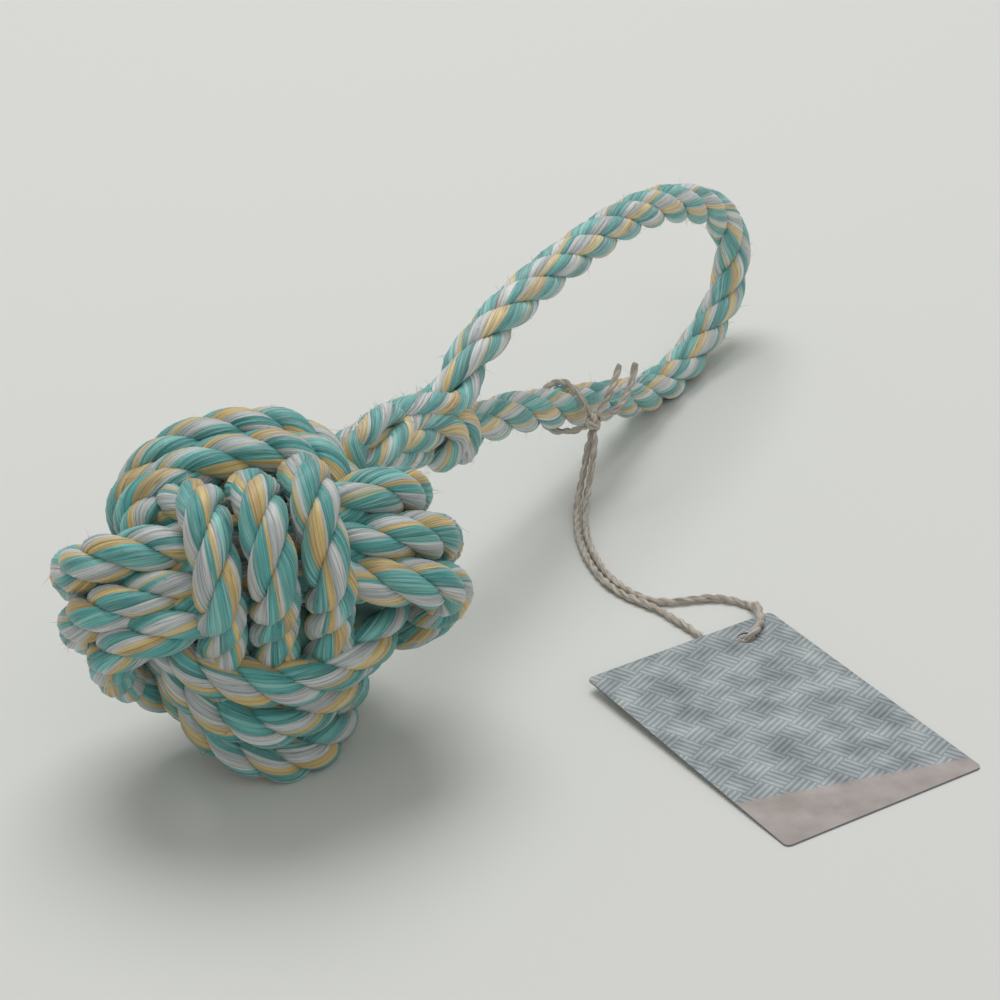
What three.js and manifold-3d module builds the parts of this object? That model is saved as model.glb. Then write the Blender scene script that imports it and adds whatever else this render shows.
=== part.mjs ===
import * as THREE from 'three';
import { mergeVertices } from 'three/addons/utils/BufferGeometryUtils.js';
import Module from 'manifold-3d';

// Rope dog toy: a ball knot of three turns each way round a core, an eye splice and a loop handle,
// all in one length of rope, with a card tag tied on by a doubled twine. Millimetres, +Z up,
// +X from the ball to the handle, the origin on the floor under the middle of the toy.

// Rope
const ropeDia = 12; // three-strand rope, lying free
const ropeSqueeze = 0.5; // lost in thickness where the knot is hauled tight
const turnGap = 0.7; // between neighbouring turns of the knot
const coreGap = 0.3; // between the core and the turns round it
const jointGap = 0.3; // between two stretches of cord that meet
const restCut = 0.1; // part of the rope's thickness pressed flat where it lies on the floor

// Knot, with each set's ends swelling outwards by a share of its length
const swells = [0.14, 0.07, 0];
const outerTurnDraw = 0.35; // part of the swell that the outer turns lose
const knotTurn = [-23, 16, -46]; // degrees about X, Y and Z from the toy's frame
const exitRise = 20; // degrees above the floor at which the rope leaves the ball
const exitPitches = 3.93; // turns' pitches from the ball's middle to where the rope leaves it

// Neck and handle, with places in X and Z from the neck's root
const neckDip = 10; // degrees that the neck slopes down, away from the ball
const neckRopeDia = 9.2; // rope inside the splice, drawn thin
const strandDia = 5.2; // one of the three tucked strands
const strandGap = 0.45; // between the strands and the rope they wind round
const strandTurns = 0.62; // of each tucked strand round the neck
const spliceEnd = 9; // from the neck's root to the strands' ends
const spliceLead = 3; // over which the strands close in on the neck
const neckRoute = [[10, -1.8], [18, -3.2], [25, -4.5], [31, -5.3], [36, -4.2], [41, -0.9], [46, 2]];
const lowerLegRoot = [46, -17.3];
const rootStubLength = 6; // of rope left whole between the splice and the lower leg
const rootStubRise = 20; // degrees
const handleRoute = [
  [62, 6], [74, 7.6], [86, 8.3], [100, 8.3], [114, 8], [128, 7.5], [142, 6.2], [157, 3.6], [172, -0.6],
  [186, -6], [198, -12.6], [206.5, -20], [210.5, -28.5], [209.5, -36.5], [204, -42.8], [195.5, -47.3],
  [184, -50.9], [168, -53.5], [154, -52.6], [140, -49.4], [122, -43], [105, -36.8], [96, -33.4],
  [80, -27.6], [66, -22.2],
];

// Twine, with places in X, Y and Z from the floor point under the ball's middle
const twineDia = 2;
const twinePairGap = 0.3; // between the two runs of the doubled twine
const twineLift = 0.2; // over the floor
const knotDia = 6.4; // overhand knot where the twine is tied
const knotGap = 0.5; // from the knot to the twine that leaves it
const knotPlace = [149.5, -10.2, 22.6];
const hitchStart = [0.12, 0.45, 0.88];
const hitchEnd = [-0.78, 0.6, -0.16];
const hitchRoute = [
  [151.3, -5.6, 31.4], [152.6, -1.2, 33.9], [152.7, 3.6, 33.1], [151.8, 7.2, 29.3], [150, 8.6, 24.4],
  [147.8, 7.4, 19.6], [146, 4.2, 16.7], [145.2, 0, 15.8], [145.4, -3.6, 16.9],
];
const tailStarts = [[0.62, -0.28, 0.73], [0.93, -0.3, 0.05]];
const tailRoutes = [
  [[154.6, -12.6, 28.6], [158.4, -13, 32], [162.6, -12.6, 34.8]],
  [[157, -12.8, 22.9], [163.6, -13.4, 24.9], [169.4, -13, 28], [173, -12.2, 30.6]],
];
const runStarts = [[-0.3, 0.3, -0.9], [0.22, -0.5, -0.84]];
const runRoute = [
  [148, -9.9, 14.5], [146.2, -9.4, 8.6], [142.8, -9.6, 3.8], [136.8, -11.6, 1.4], [129.6, -15.2, 0],
  [121.8, -20, 0], [114, -26, 0], [107.4, -32.2, 0], [102.4, -38.4, 0], [99.2, -44.2, 0],
];
const runEnd = [96.9, -51.4, 0]; // where the doubled twine parts
const lowerLead = [[94, -56.6], [91.9, -60.4], [89.9, -64.4], [87.8, -68.2], [85.6, -71.8], [83.9, -75.2]];
const upperLead = [[104.6, -77], [105.8, -71.6], [105, -66.2], [102.2, -61.2], [99.4, -57]];

// Card tag
const cardWidth = 55;
const cardLength = 85;
const cardThick = 0.5;
const cardCorner = 1.5;
const cardTurn = -31.6; // degrees, of the edge by the hole, from +X
const cardPlace = [53.4, -55.6]; // corner by the hole's edge, away from the hole
const holeDia = 5;
const holeAlong = 43; // from that corner, along the edge
const holeInset = 7; // from the edge
const cardClear = 0.2; // over and under the twine

const tubeSides = { rope: 12, turn: 6, strand: 6, twine: 8 };
const turnSteps = 24;
const fineStep = 1.5; // between the points on which gaps are measured

const radians = THREE.MathUtils.degToRad;
const vector = (p) => new THREE.Vector3(...p);
const route = (points) => new THREE.CatmullRomCurve3(points, false, 'centripetal');
const fistDia = ropeDia - ropeSqueeze;
const pitch = fistDia + turnGap;

const wasm = await Module();
wasm.setup();

function toSolid(geometry) {
  const bare = geometry.clone();
  bare.deleteAttribute('normal');
  bare.deleteAttribute('uv');
  const merged = mergeVertices(bare, 1e-4);
  return new wasm.Manifold(new wasm.Mesh({
    numProp: 3,
    vertProperties: new Float32Array(merged.attributes.position.array),
    triVerts: new Uint32Array(merged.index.array),
  }));
}

function toGeometry(solid) {
  const mesh = solid.getMesh();
  const geometry = new THREE.BufferGeometry();
  geometry.setAttribute('position', new THREE.BufferAttribute(mesh.vertProperties, 3));
  geometry.setIndex(new THREE.BufferAttribute(mesh.triVerts, 1));
  return geometry;
}

// What lies below the floor is taken off, which leaves a flat where the rope rests
function pressedFlat(geometry) {
  const side = 1000;
  const floor = new THREE.BoxGeometry(side, side, ropeDia).translate(0, 0, -ropeDia / 2);
  return toGeometry(toSolid(geometry).subtract(toSolid(floor)));
}

function evenPoints(points, step) {
  const lengths = [0];
  for (let i = 1; i < points.length; i += 1) {
    lengths.push(lengths[i - 1] + points[i].distanceTo(points[i - 1]));
  }
  const total = lengths[lengths.length - 1];
  const count = Math.round(total / step);
  const even = [];
  let at = 1;
  for (let i = 0; i <= count; i += 1) {
    const along = (total * i) / count;
    while (at < points.length - 1 && lengths[at] < along) at += 1;
    const share = (along - lengths[at - 1]) / (lengths[at] - lengths[at - 1]);
    even.push(points[at - 1].clone().lerp(points[at], share));
  }
  return even;
}

// A closed tube through the points, flat at its ends or rounded off with half a ball
function tube(points, radius, sides, domes = {}) {
  const domeRings = 3;
  const rings = [];
  const direction = (i) => {
    const ahead = points[Math.min(i + 1, points.length - 1)];
    return ahead.clone().sub(points[Math.max(i - 1, 0)]).normalize();
  };
  const addDome = (centre, forward, outwards) => {
    for (let k = 1; k <= domeRings; k += 1) {
      const angle = (Math.PI / 2) * (k / (domeRings + 1));
      const place = centre.clone().addScaledVector(forward, outwards * radius * Math.sin(angle));
      rings.push({ place, forward, radius: radius * Math.cos(angle) });
    }
  };
  const first = direction(0);
  const last = direction(points.length - 1);
  if (domes.start) {
    addDome(points[0], first, -1);
    rings.reverse();
  }
  points.forEach((place, i) => rings.push({ place, forward: direction(i), radius }));
  if (domes.end) addDome(points[points.length - 1], last, 1);

  const positions = [];
  const triangles = [];
  let across = new THREE.Vector3(0, 1, 0);
  if (Math.abs(first.y) > 0.9) across.set(0, 0, 1);
  rings.forEach((ring) => {
    across = across.addScaledVector(ring.forward, -across.dot(ring.forward)).normalize();
    const upright = new THREE.Vector3().crossVectors(ring.forward, across);
    for (let k = 0; k < sides; k += 1) {
      const angle = (2 * Math.PI * k) / sides;
      const point = ring.place.clone()
        .addScaledVector(across, ring.radius * Math.cos(angle))
        .addScaledVector(upright, ring.radius * Math.sin(angle));
      positions.push(point.x, point.y, point.z);
    }
  });
  for (let i = 0; i + 1 < rings.length; i += 1) {
    for (let k = 0; k < sides; k += 1) {
      const a = i * sides + k;
      const b = i * sides + ((k + 1) % sides);
      triangles.push(a, b, b + sides, a, b + sides, a + sides);
    }
  }
  const startTip = points[0].clone().addScaledVector(first, domes.start ? -radius : 0);
  const endTip = points[points.length - 1].clone().addScaledVector(last, domes.end ? radius : 0);
  const startAt = positions.length / 3;
  positions.push(startTip.x, startTip.y, startTip.z, endTip.x, endTip.y, endTip.z);
  const lastRing = (rings.length - 1) * sides;
  for (let k = 0; k < sides; k += 1) {
    const next = (k + 1) % sides;
    triangles.push(startAt, next, k);
    triangles.push(startAt + 1, lastRing + k, lastRing + next);
  }
  const geometry = new THREE.BufferGeometry();
  geometry.setAttribute('position', new THREE.Float32BufferAttribute(positions, 3));
  geometry.setIndex(triangles);
  return geometry;
}

// A plain cord along a hand-laid route
function cord(points, radius, sides, step) {
  const path = route(points);
  const section = new THREE.Shape(
    Array.from({ length: sides }, (_, k) => {
      const angle = (2 * Math.PI * k) / sides;
      return new THREE.Vector2(radius * Math.cos(angle), radius * Math.sin(angle));
    }),
  );
  const steps = Math.round(path.getLength() / step);
  return new THREE.ExtrudeGeometry(section, { steps, extrudePath: path });
}

// One turn of the knot is a rectangle of 6 by 4 pitches with corners of one pitch, measured
// from the middle of its +X end towards +Y
const turnLength = (12 + 2 * Math.PI) * pitch;
function turnPoint(along) {
  const quarter = (Math.PI / 2) * pitch;
  const legs = [
    { from: [3, 0], heading: [0, 1], length: pitch },
    { centre: [2, 1], angle: 0, length: quarter },
    { from: [2, 2], heading: [-1, 0], length: 4 * pitch },
    { centre: [-2, 1], angle: 90, length: quarter },
    { from: [-3, 1], heading: [0, -1], length: 2 * pitch },
    { centre: [-2, -1], angle: 180, length: quarter },
    { from: [-2, -2], heading: [1, 0], length: 4 * pitch },
    { centre: [2, -1], angle: 270, length: quarter },
    { from: [3, -1], heading: [0, 1], length: pitch },
  ];
  let rest = THREE.MathUtils.euclideanModulo(along, turnLength);
  let leg = legs[0];
  for (leg of legs) {
    if (rest <= leg.length) break;
    rest -= leg.length;
  }
  if (leg.from) {
    return [leg.from[0] * pitch + leg.heading[0] * rest, leg.from[1] * pitch + leg.heading[1] * rest];
  }
  const angle = radians(leg.angle) + rest / pitch;
  return [(leg.centre[0] + Math.cos(angle)) * pitch, (leg.centre[1] + Math.sin(angle)) * pitch];
}

// A straight ramp from 0 to 1 with eased ends
function ramp(share) {
  const ease = 0.22;
  const t = THREE.MathUtils.clamp(share, 0, 1);
  const slope = 1 / (1 - ease);
  if (t < ease) return (slope * t * t) / (2 * ease);
  if (t > 1 - ease) return 1 - (slope * (1 - t) ** 2) / (2 * ease);
  return slope * (t - ease / 2);
}

// One set of three turns: it runs round from one place to another and steps sideways by a pitch at
// shiftAt and once a turn after it. The sets stand square to each other, so their axes take turns.
const shiftLength = 7.25 * pitch;
function turnSet({ axes, swell, from, to, side, shiftAt, shifts }) {
  const way = Math.sign(to - from);
  const samples = Math.round(Math.abs(to - from) / fineStep);
  return Array.from({ length: samples + 1 }, (_, i) => {
    const along = from + ((to - from) * i) / samples;
    let across = side * pitch;
    for (let k = 0; k < shifts; k += 1) {
      const centre = shiftAt + way * turnLength * k;
      across -= side * pitch * ramp((way * (along - centre)) / shiftLength + 0.5);
    }
    const [long, short] = turnPoint(along);
    const draw = 1 - outerTurnDraw * Math.min(1, Math.abs(across) / pitch) ** 2;
    const swollen = long * (1 + swell * draw * (1 - (short / (2 * pitch)) ** 2));
    const place = [0, 0, 0];
    [swollen, short, across].forEach((value, k) => {
      place[axes[k]] = value;
    });
    return vector(place);
  });
}

// A bend from the end of one run of points to the start of the next
function bend(before, after, reachOut, reachIn) {
  const count = 24;
  const [a, b] = before.slice(-2);
  const [c, d] = after.slice(0, 2);
  const out = b.clone().addScaledVector(b.clone().sub(a).normalize(), reachOut * pitch);
  const into = c.clone().addScaledVector(d.clone().sub(c).normalize(), -reachIn * pitch);
  return new THREE.CubicBezierCurve3(b, out, into, c).getPoints(count).slice(1, -1);
}

// The knot's rope, from where it leaves the ball, through the three sets, to its tucked end
const knotRotation = new THREE.Euler(...knotTurn.map(radians), 'XYZ');
const intoKnot = new THREE.Quaternion().setFromEuler(knotRotation).invert();
const neckAxis = new THREE.Vector3(Math.cos(radians(neckDip)), 0, -Math.sin(radians(neckDip)));
const exitPoint = new THREE.Vector3(Math.cos(radians(exitRise)), 0, Math.sin(radians(exitRise)))
  .multiplyScalar(exitPitches * pitch);

function knotPath() {
  const full = turnLength;
  const way = neckAxis.clone().applyQuaternion(intoKnot);
  const exit = exitPoint.clone().applyQuaternion(intoKnot);
  const end = exit.clone().addScaledVector(way, fistDia);
  const lead = [end, exit];
  const first = turnSet({
    axes: [0, 1, 2],
    swell: swells[0],
    from: -0.5 * pitch,
    to: -2.5 * full - 1.1 * pitch,
    side: 1,
    shiftAt: -0.75 * full,
    shifts: 2,
  });
  const second = turnSet({
    axes: [1, 2, 0],
    swell: swells[1],
    from: -0.25 * full + 1 * pitch,
    to: -3 * full - 1.2 * pitch,
    side: -1,
    shiftAt: -full,
    shifts: 3,
  });
  const third = turnSet({
    axes: [2, 0, 1],
    swell: swells[2],
    from: 0.5 * full + 0.9 * pitch,
    to: 3.25 * full - 1.3 * pitch,
    side: 1,
    shiftAt: 1.25 * full + 2.1 * pitch,
    shifts: 2,
  });
  return [
    ...lead, ...bend(lead, first, 0.3, 3.6),
    ...first, ...bend(first, second, 1.8, 1.6),
    ...second, ...bend(second, third, 2.1, 2.7),
    ...third,
  ];
}

function leastGap(points, diameter) {
  const apart = Math.round((2.2 * diameter) / fineStep);
  let least = Infinity;
  for (let i = 0; i < points.length; i += 1) {
    for (let k = i + apart; k < points.length; k += 1) {
      least = Math.min(least, points[i].distanceTo(points[k]));
    }
  }
  return least - diameter;
}

const knotPoints = knotPath();
console.log('knot: least gap of the rope to itself, mm:',
  leastGap(evenPoints(knotPoints, fineStep), fistDia).toFixed(2));
const lowest = Math.min(...knotPoints.map((p) => p.clone().applyEuler(knotRotation).z));
const ballHeight = fistDia * (0.5 - restCut) - lowest;
const ballPlace = new THREE.Vector3(0, 0, ballHeight);
const neckRoot = ballPlace.clone().add(exitPoint).addScaledVector(neckAxis, fistDia);

const toy = new THREE.Group();
const ropeColour = 0x6fb5a8;
const spliceColour = 0x8fb7a6;
const twineColour = 0x8b8578;
const cardColour = 0x8fa3b0;
function place(name, geometry, colour, roughness) {
  const material = new THREE.MeshStandardMaterial({ color: colour, roughness, metalness: 0 });
  const mesh = new THREE.Mesh(geometry, material);
  mesh.name = name;
  toy.add(mesh);
}

// Ball
const knotStep = turnLength / turnSteps;
const placedKnot = evenPoints(knotPoints, knotStep)
  .map((p) => p.applyEuler(knotRotation).add(ballPlace));
place('fist_winding', pressedFlat(tube(placedKnot, fistDia / 2, tubeSides.turn, { start: true })),
  ropeColour, 0.6);
const coreRadius = 2 * pitch - fistDia / 2 - coreGap;
place('core_ball', new THREE.SphereGeometry(coreRadius, 24, 16).rotateX(Math.PI / 2)
  .translate(0, 0, ballHeight), 0x4a4a48, 0.8);

// Neck: the rope inside the splice, the stub of the lower leg and the three tucked strands
const fromRoot = ([x, z]) => new THREE.Vector3(neckRoot.x + x, 0, neckRoot.z + z);
const neckStart = neckRoot.clone().addScaledVector(neckAxis, fistDia / 2 + jointGap);
const neckPoints = evenPoints(route([neckStart, ...neckRoute.map(fromRoot)]).getPoints(60), 3);
place('neck_rope', tube(neckPoints, neckRopeDia / 2, tubeSides.rope, { end: true }), ropeColour, 0.6);

const legRoot = fromRoot(lowerLegRoot);
const stubAxis = new THREE.Vector3(-Math.cos(radians(rootStubRise)), 0, Math.sin(radians(rootStubRise)));
const stubEnd = legRoot.clone().addScaledVector(stubAxis, rootStubLength);
place('splice_root', tube([legRoot, stubEnd], ropeDia / 2, tubeSides.rope, { start: true }),
  ropeColour, 0.6);

const strandRing = strandDia / Math.sqrt(3) + jointGap;
const windRadius = neckRopeDia / 2 + strandGap + strandDia / 2;
const sideways = new THREE.Vector3(0, 1, 0);
const neckUp = new THREE.Vector3().crossVectors(neckAxis, sideways);
const stubUp = new THREE.Vector3().crossVectors(sideways, stubAxis);
const windStart = 270; // degrees, of the strand that comes in under the neck
[0, 1, -1].forEach((step, i) => {
  const samples = 26;
  const stubAngle = radians(windStart + 120 * step);
  const start = stubEnd.clone().addScaledVector(stubAxis, jointGap)
    .addScaledVector(sideways, strandRing * Math.cos(stubAngle))
    .addScaledVector(stubUp, strandRing * Math.sin(stubAngle));
  const straight = [0, 0.5].map((share) => start.clone().addScaledVector(stubAxis, strandDia * share));
  const offset = start.clone().addScaledVector(stubAxis, strandDia).sub(neckRoot);
  const startAlong = offset.dot(neckAxis);
  const startRadius = Math.hypot(offset.y, offset.dot(neckUp));
  const startAngle = windStart + THREE.MathUtils.radToDeg(Math.atan2(offset.y, -offset.dot(neckUp)));
  const spread = windStart + 120 * step - startAngle;
  const wound = Array.from({ length: samples + 1 }, (_, k) => {
    const share = k / samples;
    const along = THREE.MathUtils.lerp(startAlong, spliceEnd, share);
    const leadLength = startRadius > windRadius ? 4 * spliceLead : spliceLead;
    const lead = THREE.MathUtils.smoothstep(startAlong - along, 0, leadLength);
    const reach = THREE.MathUtils.lerp(startRadius, windRadius, lead);
    const fanned = spread * THREE.MathUtils.smoothstep(startAlong - along, 0, 3 * spliceLead);
    const angle = radians(startAngle + fanned - 360 * strandTurns * share ** 1.8);
    return neckRoot.clone().addScaledVector(neckAxis, along)
      .addScaledVector(sideways, reach * Math.cos(angle))
      .addScaledVector(neckUp, reach * Math.sin(angle));
  });
  const strand = tube([...straight, ...wound], strandDia / 2, tubeSides.strand);
  place(`splice_strand_${i + 1}`, strand, spliceColour, 0.6);
});

// Handle: one bare loop of rope, from the neck and back to it
const upperRoot = fromRoot(neckRoute[neckRoute.length - 1]);
const handlePoints = handleRoute.map(fromRoot);
const endAt = (root, next, reach) => {
  const way = next.clone().sub(root).normalize();
  return root.clone().addScaledVector(way, reach);
};
const handleStart = endAt(upperRoot, handlePoints[0], neckRopeDia / 2 + jointGap);
const handleEnd = endAt(legRoot, handlePoints[handlePoints.length - 1], ropeDia / 2 + jointGap);
place('handle_loop', pressedFlat(
  cord([handleStart, ...handlePoints, handleEnd], ropeDia / 2, tubeSides.rope, ropeDia / 2),
), ropeColour, 0.6);

// Twine: a loose hitch round the lower leg, its knot and cut tails, and the doubled run to the tag
const twineRadius = twineDia / 2;
const twineStep = 2 * twineDia;
const floorLie = twineRadius + twineLift;
const knotCentre = vector(knotPlace);
const offKnot = (way) => knotCentre.clone()
  .addScaledVector(vector(way).normalize(), knotDia / 2 + knotGap);
const clearOfKnot = (way) => knotCentre.clone()
  .addScaledVector(vector(way).normalize(), knotDia / 2 + knotGap + twineDia);
const addTwine = (name, points) => {
  place(name, cord(points, twineRadius, tubeSides.twine, twineStep), twineColour, 0.9);
};
place('twine_knot', new THREE.SphereGeometry(knotDia / 2, 14, 10).translate(...knotPlace),
  twineColour, 0.9);
addTwine('twine_hitch', [
  offKnot(hitchStart), clearOfKnot(hitchStart), ...hitchRoute.map(vector),
  clearOfKnot(hitchEnd), offKnot(hitchEnd),
]);
tailStarts.forEach((way, i) => {
  addTwine(`twine_tail_${i + 1}`, [offKnot(way), clearOfKnot(way), ...tailRoutes[i].map(vector)]);
});

const pairOffset = twineRadius + twinePairGap / 2;
const lastRun = runRoute[runRoute.length - 1];
const runWay = new THREE.Vector3(runEnd[0] - lastRun[0], runEnd[1] - lastRun[1], 0).normalize();
const beside = (points, offset) => points.map((p, i) => {
  const ahead = points[Math.min(i + 1, points.length - 1)];
  const behind = points[Math.max(i - 1, 0)];
  const way = new THREE.Vector3(ahead.x - behind.x, ahead.y - behind.y, 0).normalize();
  return new THREE.Vector3(p.x - way.y * offset, p.y + way.x * offset, p.z);
});
const onFloor = (p) => new THREE.Vector3(p[0], p[1], (p[2] ?? 0) + floorLie);
const runMiddle = [...runRoute, runEnd].map(onFloor);
const runEnds = [-1, 1].map((way) => {
  const lane = beside(runMiddle, way * pairOffset);
  return { lane, end: lane[lane.length - 1] };
});
runEnds.forEach(({ lane }, i) => {
  const points = [offKnot(runStarts[i]), clearOfKnot(runStarts[i]), ...lane];
  const even = evenPoints(route(points).getPoints(120), twineStep);
  place(`twine_run_${i + 1}`, tube(even, twineRadius, tubeSides.twine, { end: true }),
    twineColour, 0.9);
});

// Card tag, propped at its near edge by the twine that passes under it
const cardTilt = Math.atan((twineDia + twineLift + 2 * cardClear) / (cardLength - holeInset));
const outline = new THREE.Shape();
outline.moveTo(cardCorner, 0);
outline.lineTo(cardWidth - cardCorner, 0);
outline.absarc(cardWidth - cardCorner, cardCorner, cardCorner, -Math.PI / 2, 0);
outline.lineTo(cardWidth, cardLength - cardCorner);
outline.absarc(cardWidth - cardCorner, cardLength - cardCorner, cardCorner, 0, Math.PI / 2);
outline.lineTo(cardCorner, cardLength);
outline.absarc(cardCorner, cardLength - cardCorner, cardCorner, Math.PI / 2, Math.PI);
outline.lineTo(0, cardCorner);
outline.absarc(cardCorner, cardCorner, cardCorner, Math.PI, 1.5 * Math.PI);
const hole = new THREE.Path();
hole.absarc(holeAlong, cardLength - holeInset, holeDia / 2, 0, 2 * Math.PI);
outline.holes.push(hole);
const cardFrame = new THREE.Matrix4()
  .makeTranslation(cardPlace[0], cardPlace[1], 0)
  .multiply(new THREE.Matrix4().makeRotationZ(radians(cardTurn)))
  .multiply(new THREE.Matrix4().makeTranslation(0, -cardLength, 0))
  .multiply(new THREE.Matrix4().makeRotationX(cardTilt));
place('tag_card', new THREE.ExtrudeGeometry(outline, {
  depth: cardThick,
  bevelEnabled: false,
  curveSegments: 8,
}).applyMatrix4(cardFrame), cardColour, 0.45);

// The doubled twine's far end: under the card's edge, up through the hole and back over the top
const onCard = (along, inset, over) => new THREE.Vector3(along, cardLength - inset, over)
  .applyMatrix4(cardFrame);
const overCard = cardThick + cardClear + twineRadius;
const leadEnd = (end) => end.clone().addScaledVector(runWay, twineRadius + jointGap);
const tagLoop = [
  leadEnd(runEnds[0].end),
  ...lowerLead.map(onFloor),
  onCard(holeAlong - 3.6, holeInset - 3.4, -cardClear - twineRadius),
  onCard(holeAlong - 0.6, holeInset - 0.1, -0.5 * twineRadius),
  onCard(holeAlong + 0.3, holeInset + 0.8, cardThick + 0.6 * twineRadius),
  onCard(holeAlong + 2.4, holeInset + 0.3, overCard + cardClear),
  onCard(holeAlong + 5.4, holeInset - 2, overCard),
  onCard(holeAlong + 8.4, holeInset - 6.2, overCard + cardClear),
  onCard(holeAlong + 10.4, holeInset - 10.6, 1.2 * twineRadius),
  ...upperLead.map(onFloor),
  leadEnd(runEnds[1].end),
];
const tagLoopStep = 1.2 * twineDia;
place('twine_tag_loop', tube(evenPoints(route(tagLoop).getPoints(240), tagLoopStep), twineRadius,
  tubeSides.twine), twineColour, 0.9);

// The origin moves to the floor under the middle of the rope, without the twine and its tag
const ropeBox = new THREE.Box3();
toy.children.filter((mesh) => !/^(twine|tag)_/.test(mesh.name)).forEach((mesh) => {
  ropeBox.expandByObject(mesh);
});
const middle = ropeBox.getCenter(new THREE.Vector3());
toy.position.set(-middle.x, -middle.y, -ropeBox.min.z);

export default toy;
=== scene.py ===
import math

import bpy
import numpy as np
from mathutils import Matrix, Vector


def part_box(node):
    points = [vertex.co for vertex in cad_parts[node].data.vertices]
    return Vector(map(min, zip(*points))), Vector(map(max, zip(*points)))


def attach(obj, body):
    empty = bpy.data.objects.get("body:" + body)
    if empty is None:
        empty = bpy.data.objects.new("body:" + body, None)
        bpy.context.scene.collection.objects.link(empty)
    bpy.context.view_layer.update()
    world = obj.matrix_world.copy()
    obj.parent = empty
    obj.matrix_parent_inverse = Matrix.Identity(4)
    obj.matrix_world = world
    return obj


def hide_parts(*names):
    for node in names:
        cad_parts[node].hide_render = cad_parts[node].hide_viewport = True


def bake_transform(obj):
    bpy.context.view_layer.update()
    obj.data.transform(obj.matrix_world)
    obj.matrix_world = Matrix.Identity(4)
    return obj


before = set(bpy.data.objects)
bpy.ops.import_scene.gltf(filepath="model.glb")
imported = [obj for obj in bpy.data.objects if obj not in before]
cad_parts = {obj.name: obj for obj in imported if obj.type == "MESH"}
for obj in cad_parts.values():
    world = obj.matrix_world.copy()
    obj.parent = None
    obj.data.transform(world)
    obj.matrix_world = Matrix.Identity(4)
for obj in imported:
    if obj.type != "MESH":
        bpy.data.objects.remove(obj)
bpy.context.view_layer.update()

mm = 0.001
coreLow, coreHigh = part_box("core_ball")
ballMiddle = np.array((coreLow + coreHigh) / 2)
underBall = np.array([ballMiddle[0], ballMiddle[1], 0.0])  # the routes are measured from this floor point
print("frame loaded,", len(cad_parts), "solids")

# camera, at the photograph's place and angle

photoView = {
    "place": (-0.5636, -0.3327, 0.3446),
    "forward": (0.768, 0.455, -0.451),
    "up": (0.429, 0.159, 0.889),
    "lens": 97.2,
    "sensor": 36.0,
}


def addCamera():
    bpy.ops.object.select_all(action="DESELECT")
    bpy.ops.object.camera_add()
    camera = bpy.context.object
    forward = Vector(photoView["forward"]).normalized()
    right = forward.cross(Vector(photoView["up"])).normalized()
    turn = Matrix((right, right.cross(forward), -forward)).transposed().to_4x4()
    camera.matrix_world = Matrix.Translation(photoView["place"]) @ turn
    camera.data.lens = photoView["lens"]
    camera.data.sensor_width = photoView["sensor"]
    camera.data.dof.use_dof = False
    bpy.context.scene.camera = camera


addCamera()
print("camera placed")

# lines in space, as arrays of points in metres


def unit(vectors):
    return vectors / np.linalg.norm(vectors, axis=-1, keepdims=True)


def smoothRoute(points, perSpan=24):
    points = np.asarray(points, float)
    points = np.vstack([2 * points[0] - points[1], points, 2 * points[-1] - points[-2]])
    knots = np.concatenate([[0], np.cumsum(np.linalg.norm(np.diff(points, axis=0), axis=1) ** 0.5)])
    spans = []
    for k in range(1, len(points) - 2):
        p0, p1, p2, p3 = points[k - 1:k + 3]
        t0, t1, t2, t3 = knots[k - 1:k + 3]
        t = np.linspace(t1, t2, perSpan, endpoint=False)[:, None]
        a1 = ((t1 - t) * p0 + (t - t0) * p1) / (t1 - t0)
        a2 = ((t2 - t) * p1 + (t - t1) * p2) / (t2 - t1)
        a3 = ((t3 - t) * p2 + (t - t2) * p3) / (t3 - t2)
        b1 = ((t2 - t) * a1 + (t - t0) * a2) / (t2 - t0)
        b2 = ((t3 - t) * a2 + (t - t1) * a3) / (t3 - t1)
        spans.append(((t2 - t) * b1 + (t - t1) * b2) / (t2 - t1))
    spans.append(points[-2:-1])
    return np.vstack(spans)


def lengthAlong(points):
    return np.concatenate([[0], np.cumsum(np.linalg.norm(np.diff(points, axis=0), axis=1))])


def evenLine(points, step):
    along = lengthAlong(points)
    count = max(2, int(round(along[-1] / step)))
    even = np.linspace(0, along[-1], count + 1)
    return np.stack([np.interp(even, along, points[:, k]) for k in range(3)], axis=1)


def directions(points):
    return unit(np.gradient(points, axis=0))


# a side direction carried along the line without turning round it
def carrySide(ways, first, at=0):
    sides = np.zeros_like(ways)
    sides[at] = unit(first - ways[at] * (first @ ways[at]))
    for i in range(at + 1, len(ways)):
        sides[i] = unit(sides[i - 1] - ways[i] * (sides[i - 1] @ ways[i]))
    for i in range(at - 1, -1, -1):
        sides[i] = unit(sides[i + 1] - ways[i] * (sides[i + 1] @ ways[i]))
    return sides


def ease(share):
    share = np.clip(share, 0, 1)
    return share * share * (3 - 2 * share)


def rampUp(value, start, over):
    return ease((value - start) / over)


def mixed(a, b, share):
    return a + (b - a) * share


# the rope's middle line: the ball knot from its tucked end outwards, the neck, the handle and its lower leg

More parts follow.
